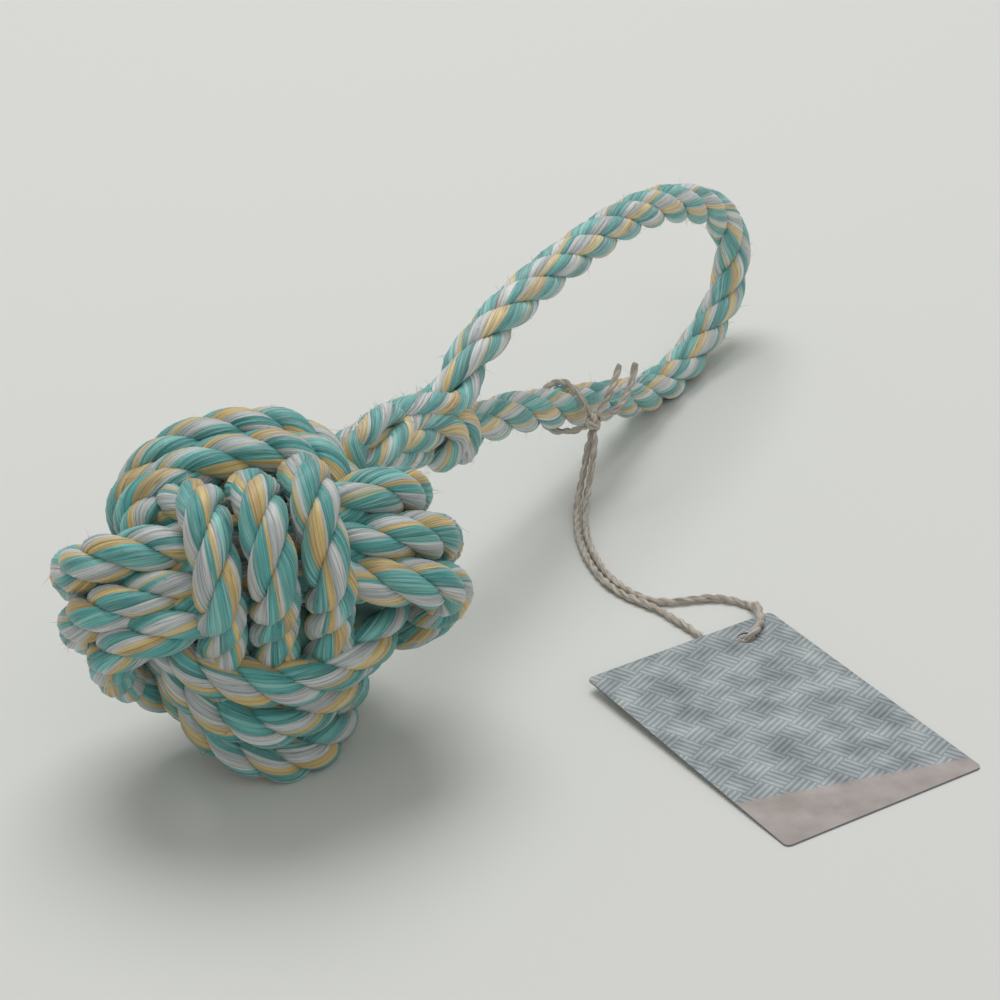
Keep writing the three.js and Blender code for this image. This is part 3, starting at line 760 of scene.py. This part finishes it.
# each piece of a strand goes on for two rings past its ends, sunk under the next piece
def layStrand(n, first, last):
    here = slice(max(first - 2, 0), last + 3)
    centres = strandCentres(n)
    outwards = unit(centres - rope["line"])
    places = np.arange(len(centres))[here]
    past = np.maximum(first - places, places - last)
    widths = strandHere[here] * np.interp(past, [0, 1, 2], [1, *ropeLay["sunk"]])
    return strandTube(
        centres[here], directions(centres)[here], widths, rope["sides"][here], yarnAngle[here],
        ropeLay["seed"] + n, rope["along"][here], outwards[here], np.ones(len(places)),
    )


def frayed(tubes, slots, loose, seedStep=0):
    allTubes = list(tubes)
    allSlots = list(slots)
    for n, tube in enumerate(tubes):
        seed = loose["seed"] + seedStep + n
        fibres = looseFibres(tube, loose["fibres"], loose["reach"], loose["thick"], seed)
        allTubes.extend(fibres)
        allSlots.extend([slots[n]] * len(fibres))
    return allTubes, allSlots


pastNeckEnd = rope["line"][rope["root"]:, 0] > neckRoot[0] + splice["legEnds"][0]
handleFirst = rope["root"] + int(np.argmax(pastNeckEnd))
handleLast = len(rope["line"]) - 1
while rope["line"][handleLast, 0] < neckRoot[0] + splice["legEnds"][1]:
    handleLast -= 1


def makeHandle():
    tubes = [layStrand(n, handleFirst, handleLast) for n in range(3)]
    tubes, slots = frayed(tubes, [0, 1, 2], handleRope["loose"])
    piece = meshFrom("handleRope", tubes, slots, strandFinishes)
    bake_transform(piece)
    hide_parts("handle_loop", "splice_root")


makeHandle()

# twine: two plies laid together, hairy

twine = {
    "ring": 0.35 * mm,
    "ply": 0.67 * mm,
    "lay": 7.6 * mm,
    "around": 10,
    "step": 0.55 * mm,
    "dia": 2.0 * mm,
    "knotDia": 6.4 * mm,
    "knotGap": 0.5 * mm,
    "pairGap": 0.3 * mm,
    "lift": 0.2 * mm,
    "floor": 0.1 * mm,
    "wobble": ((0.08, 420), (0.06, 1130)),  # of the ply's radius, and radians a metre
    "cut": (3 * mm, 0.25),  # the cut ends spread: over this length, by this much
    "bend": 5 * mm,  # each way from where the run parts
    "pathStep": 1.5 * mm,
    "runLoose": {"fibres": 190, "reach": 1.4 * mm, "thick": 0.04 * mm, "seed": 60},
    "tieLoose": {"fibres": 36, "reach": 1.4 * mm, "thick": 0.04 * mm, "seed": 80},
}
twineColours = {
    "stops": [(0.32, (138, 130, 120)), (0.5, (184, 175, 163)), (0.68, (214, 205, 192))],
    "streaks": (24.0, 7.0, 1.0),
    "bump": (0.5, 0.12 * mm),
}


def twineMaterial():
    material, tree, shader = newMaterial("juteTwine")
    uv = addNode(tree, "ShaderNodeUVMap", uv_map="lengthwise")
    stretch = addNode(tree, "ShaderNodeMapping")
    stretch.inputs["Scale"].default_value = twineColours["streaks"]
    tree.links.new(uv.outputs["UV"], stretch.inputs["Vector"])
    fibre = addNoise(tree, stretch.outputs[0], 1.0, 4.0)
    colour = colourRamp(tree, fibre, twineColours["stops"])
    tree.links.new(colour, shader.inputs["Base Color"])
    addBump(tree, shader, fibre, *twineColours["bump"])
    shader.inputs["Roughness"].default_value = 0.85
    shader.inputs["Specular IOR Level"].default_value = 0.2
    shader.inputs["Sheen Weight"].default_value = 0.2
    return material


jute = twineMaterial()


def twinePlies(line, seed, cut=False):
    line = evenLine(line, twine["step"])
    ways = directions(line)
    first = np.array([0.0, 0.0, 1.0]) if abs(ways[0, 2]) < 0.9 else np.array([1.0, 0.0, 0.0])
    sides = carrySide(ways, first)
    uprights = np.cross(ways, sides)
    along = lengthAlong(line)
    chance = np.random.default_rng(seed)
    (slowShare, slowWave), (fastShare, fastWave) = twine["wobble"]
    wobble = 1 + slowShare * np.sin(along * slowWave + chance.uniform(0, 6))
    wobble = wobble + fastShare * np.sin(along * fastWave)
    if cut:
        cutLength, spread = twine["cut"]
        wobble = wobble * mixed(1, 1 + spread, ease((along - along[-1] + cutLength) / cutLength))
    k = np.arange(twine["around"]) * 2 * math.pi / twine["around"]
    plies = []
    for n in range(2):
        angle = 2 * math.pi * along / twine["lay"] + math.pi * n
        centres = line + twine["ring"] * (
            np.cos(angle)[:, None] * sides + np.sin(angle)[:, None] * uprights
        )
        plyWays = directions(centres)
        plySides = unit(sides - plyWays * np.sum(sides * plyWays, axis=1)[:, None])
        plyUp = np.cross(plyWays, plySides)
        radius = (twine["ply"] * wobble)[:, None, None]
        points = centres[:, None, :] + radius * (
            np.cos(k)[None, :, None] * plySides[:, None, :] + np.sin(k)[None, :, None] * plyUp[:, None, :]
        )
        points[:, :, 2] = np.maximum(points[:, :, 2], twine["floor"])
        plies.append(tubeFaces(points, along * uvPerMetre + 3.1 * n + seed))  # no two plies streaked alike
    return plies


# places in mm from the floor point under the ball
def ropeToy(points):
    return underBall + np.asarray(points, float) * mm


twineRoutes = {
    "knot": [149.5, -10.2, 22.6],
    "hitchStart": [0.12, 0.45, 0.88],
    "hitchEnd": [-0.78, 0.6, -0.16],
    "hitch": [
        [151.3, -5.6, 31.4], [152.6, -1.2, 33.9], [152.7, 3.6, 33.1], [151.8, 7.2, 29.3],
        [150, 8.6, 24.4], [147.8, 7.4, 19.6], [146, 4.2, 16.7], [145.2, 0, 15.8], [145.4, -3.6, 16.9],
    ],
    "hitchRadius": 6.9 * mm,  # from the rope's middle to the twine's
    "legSteps": 120,  # of the rope's line, back from the splice, that the hitch may lie on
    "knotSize": 0.8 * mm,
    "knotSpin": (70, 20, 35),
    "tailStarts": [[0.62, -0.28, 0.73], [0.93, -0.3, 0.05]],
    "tails": [
        [[154.6, -12.6, 28.6], [158.4, -13, 32], [162.6, -12.6, 34.8]],
        [[157, -12.8, 22.9], [163.6, -13.4, 24.9], [169.4, -13, 28], [173, -12.2, 30.6]],
    ],
    "runStarts": [[-0.14, 0.17, -0.97], [-0.2, -0.12, -0.97]],
    "run": [
        [148, -9.9, 14.5], [146.2, -9.4, 8.6], [142.8, -9.6, 3.8], [136.8, -11.6, 1.4],
        [129.6, -15.2, 0], [121.8, -20, 0], [114, -26, 0], [107.4, -32.2, 0], [102.4, -38.4, 0],
        [99.2, -44.2, 0], [96.9, -51.4, 0],
    ],
    "lowerLead": [[94, -56.6], [91.9, -60.4], [89.9, -64.4], [87.8, -68.2], [85.6, -71.8], [83.9, -75.2]],
    "upperLead": [[104.6, -77], [105.8, -71.6], [105, -66.2], [102.2, -61.2], [99.4, -57]],
    # through the hole and over the card's end: along its end, in from the hole's row, and over its face
    "cardLoop": [
        [-3.6, -3.4, -1.2], [-0.6, -0.1, -0.5], [0.3, 0.8, 1.1], [2.4, 0.3, 1.9], [5.4, -2, 1.7],
        [8.4, -6.2, 1.9], [10.4, -10.6, 1.2],
    ],
}
card = {
    "width": 55 * mm,
    "length": 85 * mm,
    "thick": 0.5 * mm,
    "corner": 1.5 * mm,
    "turn": -31.6,
    "place": (53.4, -55.6),
    "hole": 5 * mm,
    "holeAlong": 43 * mm,
    "holeInset": 7 * mm,
    "clear": 0.2 * mm,
}
cardLift = twine["dia"] + twine["lift"] + 2 * card["clear"]  # its end lies on the twine
cardTilt = math.atan(cardLift / (card["length"] - card["holeInset"]))
cardFrame = (
    Matrix.Translation(ropeToy([*card["place"], 0]))
    @ Matrix.Rotation(math.radians(card["turn"]), 4, "Z")
    @ Matrix.Translation((0, -card["length"], 0))
    @ Matrix.Rotation(cardTilt, 4, "X")
)


def onCard(along, inset, over):
    holeRow = card["length"] - card["holeInset"]
    spot = Vector((card["holeAlong"] + along * mm, holeRow - inset * mm, over * mm))
    return np.array(cardFrame @ spot)


def leaveKnot(way):
    way = unit(np.array(way))
    clear = twine["knotDia"] / 2 + twine["knotGap"]
    knot = ropeToy(twineRoutes["knot"])
    return [knot + way * 0.35 * twine["knotDia"], knot + way * clear, knot + way * (clear + twine["dia"])]


def onFloor(points):
    points = np.array([[*p, 0][:3] for p in points], float)
    points[:, 2] += (twine["dia"] / 2 + twine["lift"]) / mm
    return ropeToy(points)


def besideRun(points, offset):
    ways = np.gradient(points, axis=0)
    ways[:, 2] = 0
    ways = unit(ways)
    return points + offset * np.stack([-ways[:, 1], ways[:, 0], 0 * ways[:, 0]], axis=1)


# the twine that carries the tag: down from the knot, through the card's hole and back beside itself
def makeTwineRun():
    middle = onFloor(twineRoutes["run"])
    lane = (twine["dia"] + twine["pairGap"]) / 2
    out = besideRun(middle, -lane)
    back = besideRun(middle, lane)
    loop = [onCard(*place) for place in twineRoutes["cardLoop"]]
    points = (
        leaveKnot(twineRoutes["runStarts"][0]) + list(out) + list(onFloor(twineRoutes["lowerLead"]))
        + loop + list(onFloor(twineRoutes["upperLead"])) + list(back[::-1])
        + leaveKnot(twineRoutes["runStarts"][1])[::-1]
    )
    line = smoothRoute(points)
    tubes, slots = frayed(twinePlies(line, 5), [0, 0], twine["runLoose"])
    piece = meshFrom("twineRun", tubes, slots, [jute])
    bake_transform(piece)
    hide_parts("twine_run_1", "twine_run_2", "twine_tag_loop")


makeTwineRun()


# drawn in until it lies on the rope
def snug(points):
    leg = rope["line"][handleLast - twineRoutes["legSteps"]:handleLast]
    laid = []
    for point in points:
        nearest = leg[np.argmin(np.linalg.norm(leg - point, axis=1))]
        laid.append(nearest + unit(point - nearest) * twineRoutes["hitchRadius"])
    return laid


# the tie round the handle's lower leg: an overhand knot, the hitch and two cut tails
def makeTwineTie():
    knot = ropeToy(twineRoutes["knot"])
    t = np.linspace(0, 2 * math.pi, 120)
    trefoil = np.stack([
        np.sin(t) + 2 * np.sin(2 * t), np.cos(t) - 2 * np.cos(2 * t), -np.sin(3 * t) * 1.1,
    ], axis=1) * twineRoutes["knotSize"]
    spin = turned(twineRoutes["knotSpin"])
    tubes = twinePlies(trefoil @ spin.T + knot, 9)
    hitch = (
        leaveKnot(twineRoutes["hitchStart"]) + snug(ropeToy(twineRoutes["hitch"]))
        + leaveKnot(twineRoutes["hitchEnd"])[::-1]
    )
    tubes += twinePlies(smoothRoute(hitch), 12)
    for start, tail in zip(twineRoutes["tailStarts"], twineRoutes["tails"]):
        tubes += twinePlies(smoothRoute(leaveKnot(start) + list(ropeToy(tail))), 15, cut=True)
    tubes, slots = frayed(tubes, [0] * len(tubes), twine["tieLoose"])
    piece = meshFrom("twineTie", tubes, slots, [jute])
    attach(piece, "twine")
    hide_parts("twine_hitch", "twine_knot", "twine_tail_1", "twine_tail_2")
    print("twine tie made")


makeTwineTie()

# the ball: nine turns of rope, its three strands each a piece

ballKnot = {
    "short": 10 * mm,  # the knot's strands end this far before the neck's root
    "loose": {"fibres": 800, "reach": 3.2 * mm, "thick": 0.075 * mm, "seed": 120},
}
knotEnd = rope["root"] - int(round(ballKnot["short"] / ropeRoute["step"]))


def makeBall():
    for n in range(3):
        tubes, slots = frayed([layStrand(n, 0, knotEnd)], [0], ballKnot["loose"], n)
        piece = meshFrom(f"knotStrand{n + 1}", tubes, slots, [strandFinishes[n]])
        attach(piece, "ball")
        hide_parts("fist_winding")
    print("ball knot made")


makeBall()


# the neck: the rope's standing strands, spread apart by the splice

neck = {
    "bend": 9 * mm,  # each way from its root
    "loose": {"fibres": 90, "reach": 3.2 * mm, "thick": 0.07 * mm, "seed": 140},
}


def bendAtNeck(piece):
    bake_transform(piece)


def makeNeck():
    for n in range(3):
        tubes, slots = frayed([layStrand(n, knotEnd, handleFirst)], [0], neck["loose"], n)
        piece = meshFrom(f"neckStrand{n + 1}", tubes, slots, [strandFinishes[n]])
        bendAtNeck(piece)
        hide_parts("neck_rope")
    print("neck strands made")


makeNeck()


# the tucked strands: from the lower leg's end they part and go back along the neck, over and under

tucked = {
    "backSteps": 2,  # each starts so many steps back in the leg, sunk
    "leadSteps": 4,  # and takes its first way from the leg
    "swells": 10 * mm,
    "pressFades": 12 * mm,
    "point": (7 * mm, 0.35),  # the end's length, and how thin it gets
    "loose": {"fibres": 100, "reach": 3.4 * mm, "thick": 0.07 * mm, "seed": 160},
}


def neckPlace(places):
    return neckRoot + np.asarray(places) * mm @ np.stack([neckAxis, towardsViewer, neckUp])


def tuckedLine(leg, places, perSpan=24):
    lead = leg[[handleLast - tucked["leadSteps"], handleLast]]
    return smoothRoute(np.vstack([lead, neckPlace(places)]), perSpan)[perSpan:]


def makeTucked():
    back = tucked["backSteps"]
    pointLength, pointed = tucked["point"]
    for n, (legStrand, places) in enumerate(zip(splice["legStrands"], splice["tucks"])):
        leg = strandCentres(legStrand)
        line = evenLine(tuckedLine(leg, places), ropeRoute["step"])
        centres = np.vstack([leg[handleLast - back:handleLast], line])
        ways = directions(centres)
        along = lengthAlong(centres)
        along = along - along[back]
        sides = carrySide(ways, rope["sides"][handleLast], back)
        outwards = carrySide(ways, leg[handleLast] - rope["line"][handleLast], back)
        turns = yarnAngle[handleLast] - 2 * math.pi * along / ropeLay["yarnTurn"]
        widths = mixed(ropeLay["strand"], splice["strand"], ease(along / tucked["swells"]))
        widths = widths * mixed(1, pointed, ease((along - along[-1] + pointLength) / pointLength))
        widths[:back] *= ropeLay["sunk"][::-1]
        tube = strandTube(
            centres, ways, widths, sides, turns, ropeLay["seed"] + legStrand,
            rope["along"][handleLast] + along, outwards, 1 - ease(along / tucked["pressFades"]),
        )
        tubes, slots = frayed([tube], [0], tucked["loose"], n)
        piece = meshFrom(f"tuckedStrand{n + 1}", tubes, slots, [strandFinishes[legStrand]])
        bendAtNeck(piece)
        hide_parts(f"splice_strand_{n + 1}")
    print("tucked strands made")


makeTucked()


# the core, hidden in the knot

core = {
    "radius": 2.2,  # pitches
    # dark colours: painted shade, where the core shows through the gaps between the turns
    "stops": [(0, (30, 58, 56)), (1, (92, 140, 132))],
    "bump": (0.8, 1.5 * mm),
}


def coreMaterial():
    material, tree, shader = newMaterial("coreInPaintedShade")
    place = addNode(tree, "ShaderNodeTexCoord")
    wound = addNode(tree, "ShaderNodeTexWave", bands_direction="DIAGONAL")
    wound.inputs["Scale"].default_value = 60.0
    wound.inputs["Distortion"].default_value = 3.0
    wound.inputs["Detail"].default_value = 3.0
    tree.links.new(place.outputs["Object"], wound.inputs["Vector"])
    colour = colourRamp(tree, wound.outputs[0], core["stops"])
    tree.links.new(colour, shader.inputs["Base Color"])
    addBump(tree, shader, wound.outputs[1], *core["bump"])
    shader.inputs["Roughness"].default_value = 0.7
    return material


def makeCore():
    bpy.ops.object.select_all(action="DESELECT")
    bpy.ops.mesh.primitive_ico_sphere_add(subdivisions=5, radius=core["radius"])
    piece = bpy.context.object
    piece.name = "coreBall"
    bpy.ops.object.shade_smooth()
    ball = np.array([vertex.co for vertex in piece.data.vertices])
    packed = drawnTight(ball) * pitch @ knotSpin().T + ballMiddle
    piece.data.vertices.foreach_set("co", packed.ravel())
    piece.data.update()
    piece.data.materials.append(coreMaterial())
    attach(piece, "ball")
    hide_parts("core_ball")
    print("core made")


makeCore()

# the tag: thin card with rounded corners and a punched hole

cardPrint = {
    "slate": (144, 152, 155),
    "deep": (96, 104, 109),
    "pale": (190, 197, 197),
    "band": ((150, 139, 134), (178, 171, 167)),
    "square": 6.2,  # mm, as are the reed, the band's edge and the print's UV map
    "reed": 1.55,
    "slant": -24,
    "weaveShare": 0.42,
    "driftShare": 0.6,
    "drift": 0.11,
    "bandSlope": 0.28,
    "bandEdge": (19.5, 20.5),
    "back": (214, 214, 210),
    "edge": (120, 122, 126),
    "softEdge": 0.06 * mm,
}


def printMaterial():
    material, tree, shader = newMaterial("cardPrint")
    uv = addNode(tree, "ShaderNodeUVMap", uv_map="cardPlan")
    split = addNode(tree, "ShaderNodeSeparateXYZ")
    tree.links.new(uv.outputs["UV"], split.inputs[0])
    x, y = split.outputs[0], split.outputs[1]
    slant = addNode(tree, "ShaderNodeMapping")
    slant.inputs["Rotation"].default_value = (0, 0, math.radians(cardPrint["slant"]))
    tree.links.new(uv.outputs["UV"], slant.inputs["Vector"])
    squares = addNode(tree, "ShaderNodeTexChecker")
    squares.inputs["Scale"].default_value = 1 / cardPrint["square"]
    tree.links.new(slant.outputs[0], squares.inputs["Vector"])
    reeds = []
    for way in ("X", "Y"):
        reed = addNode(tree, "ShaderNodeTexWave", bands_direction=way)
        reed.inputs["Scale"].default_value = math.pi / 10 / cardPrint["reed"]
        reed.inputs["Distortion"].default_value = 0.6
        tree.links.new(slant.outputs[0], reed.inputs["Vector"])
        reeds.append(reed.outputs[1])
    lengthways = sums(tree, "SUBTRACT", 1.0, squares.outputs[1])
    weave = sums(
        tree, "ADD", sums(tree, "MULTIPLY", reeds[0], squares.outputs[1]),
        sums(tree, "MULTIPLY", reeds[1], lengthways),
    )
    drift = addNoise(tree, uv.outputs["UV"], cardPrint["drift"], 4.0)
    value = sums(
        tree, "ADD", sums(tree, "MULTIPLY", weave, cardPrint["weaveShare"]),
        between(tree, drift, 0.3, 0.7, 0.0, cardPrint["driftShare"]),
    )
    shades = [(0, cardPrint["deep"]), (0.5, cardPrint["slate"]), (1, cardPrint["pale"])]
    woven = colourRamp(tree, value, shades)
    warm = colourRamp(tree, between(tree, drift, 0.3, 0.7, 0.0, 1.0), enumerate(cardPrint["band"]))
    bandPlace = sums(tree, "ADD", y, sums(tree, "MULTIPLY", x, cardPrint["bandSlope"]))
    band = between(tree, bandPlace, *cardPrint["bandEdge"], 1.0, 0.0)
    mix = addNode(tree, "ShaderNodeMix", data_type="RGBA")
    tree.links.new(band, mix.inputs["Factor"])
    tree.links.new(woven, mix.inputs[6])
    tree.links.new(warm, mix.inputs[7])
    tree.links.new(mix.outputs[2], shader.inputs["Base Color"])
    shader.inputs["Roughness"].default_value = 0.38
    shader.inputs["Specular IOR Level"].default_value = 0.4
    return material


def paperMaterial(name, colour):
    material, tree, shader = newMaterial(name)
    place = addNode(tree, "ShaderNodeTexCoord")
    grain = addNoise(tree, place.outputs["Object"], 1500.0)
    stops = [(0, [c - 10 for c in colour]), (1, [c + 8 for c in colour])]
    tree.links.new(colourRamp(tree, grain, stops), shader.inputs["Base Color"])
    shader.inputs["Roughness"].default_value = 0.6
    return material


def activate(piece):
    bpy.ops.object.select_all(action="DESELECT")
    piece.select_set(True)
    bpy.context.view_layer.objects.active = piece


def makeCard():
    bpy.ops.object.select_all(action="DESELECT")
    bpy.ops.mesh.primitive_plane_add(size=1, location=(card["width"] / 2, card["length"] / 2, 0))
    piece = bpy.context.object
    piece.name = "tagCard"
    piece.scale = (card["width"], card["length"], 1)
    bpy.ops.object.transform_apply(location=True, rotation=True, scale=True)
    bpy.ops.object.mode_set(mode="EDIT")
    bpy.ops.mesh.select_all(action="SELECT")
    bpy.ops.mesh.bevel(offset=card["corner"], segments=6, affect="VERTICES")
    bpy.ops.object.mode_set(mode="OBJECT")
    stock = piece.modifiers.new("stock", "SOLIDIFY")
    stock.thickness = card["thick"]
    stock.offset = 1
    bpy.ops.object.modifier_apply(modifier=stock.name)
    bpy.ops.mesh.primitive_cylinder_add(
        vertices=40, radius=card["hole"] / 2, depth=8 * card["thick"],
        location=(card["holeAlong"], card["length"] - card["holeInset"], card["thick"] / 2),
    )
    punch = bpy.context.object
    activate(piece)
    cut = piece.modifiers.new("hole", "BOOLEAN")
    cut.object = punch
    cut.solver = "EXACT"
    bpy.ops.object.modifier_apply(modifier=cut.name)
    bpy.data.objects.remove(punch)
    soften = piece.modifiers.new("softEdge", "BEVEL")
    soften.width = cardPrint["softEdge"]
    soften.segments = 2
    soften.limit_method = "ANGLE"
    bpy.ops.object.modifier_apply(modifier=soften.name)
    layer = piece.data.uv_layers.get("UVMap") or piece.data.uv_layers.new(name="UVMap")
    layer.name = "cardPlan"
    for polygon in piece.data.polygons:
        for corner in polygon.loop_indices:
            spot = piece.data.vertices[piece.data.loops[corner].vertex_index].co
            layer.data[corner].uv = (spot.x / mm, spot.y / mm)
    piece.data.materials.clear()
    piece.data.materials.append(printMaterial())
    piece.data.materials.append(paperMaterial("cardBack", cardPrint["back"]))
    piece.data.materials.append(paperMaterial("cardEdge", cardPrint["edge"]))
    for polygon in piece.data.polygons:
        lift = polygon.normal.z
        polygon.material_index = 0 if lift > 0.9 else 1 if lift < -0.9 else 2
    piece.data.transform(cardFrame)
    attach(piece, "tag")
    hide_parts("tag_card")
    print("card made")


makeCard()

# floor and light

studio = {
    "floor": (217, 218, 214),
    "floorSize": 12.0,
    "worldColour": (1.0, 1.0, 0.99),
    "worldStrength": 0.42,
    "key": {"place": (0.7, 0.5, 2.2), "size": 1.8, "power": 32.5},
    "fill": {"place": (-1.2, -1.4, 1.3), "size": 1.8, "power": 5.0},
}


def makeFloor():
    bpy.ops.object.select_all(action="DESELECT")
    bpy.ops.mesh.primitive_plane_add(size=studio["floorSize"], location=(0, 0, 0))
    floor = bpy.context.object
    floor.name = "studioFloor"
    material, tree, shader = newMaterial("paleFloor")
    shader.inputs["Base Color"].default_value = linear(studio["floor"])
    shader.inputs["Roughness"].default_value = 0.7
    shader.inputs["Specular IOR Level"].default_value = 0.2
    floor.data.materials.append(material)


def addLamp(name, place, size, power):
    bpy.ops.object.light_add(type="AREA", location=place)
    lamp = bpy.context.object
    lamp.name = name
    lamp.data.shape = "DISK"
    lamp.data.size = size
    lamp.data.energy = power
    lamp.rotation_euler = (-Vector(place)).to_track_quat("-Z", "Y").to_euler()


def makeStudio():
    makeFloor()
    world = bpy.data.worlds.new("studioWorld")
    bpy.context.scene.world = world
    world.use_nodes = True
    sky = world.node_tree.nodes["Background"]
    sky.inputs["Color"].default_value = (*studio["worldColour"], 1)
    sky.inputs["Strength"].default_value = studio["worldStrength"]
    for name in ("key", "fill"):
        addLamp(name + "Lamp", **studio[name])
    bpy.context.scene.view_settings.view_transform = "Standard"
    print("studio set")


makeStudio()
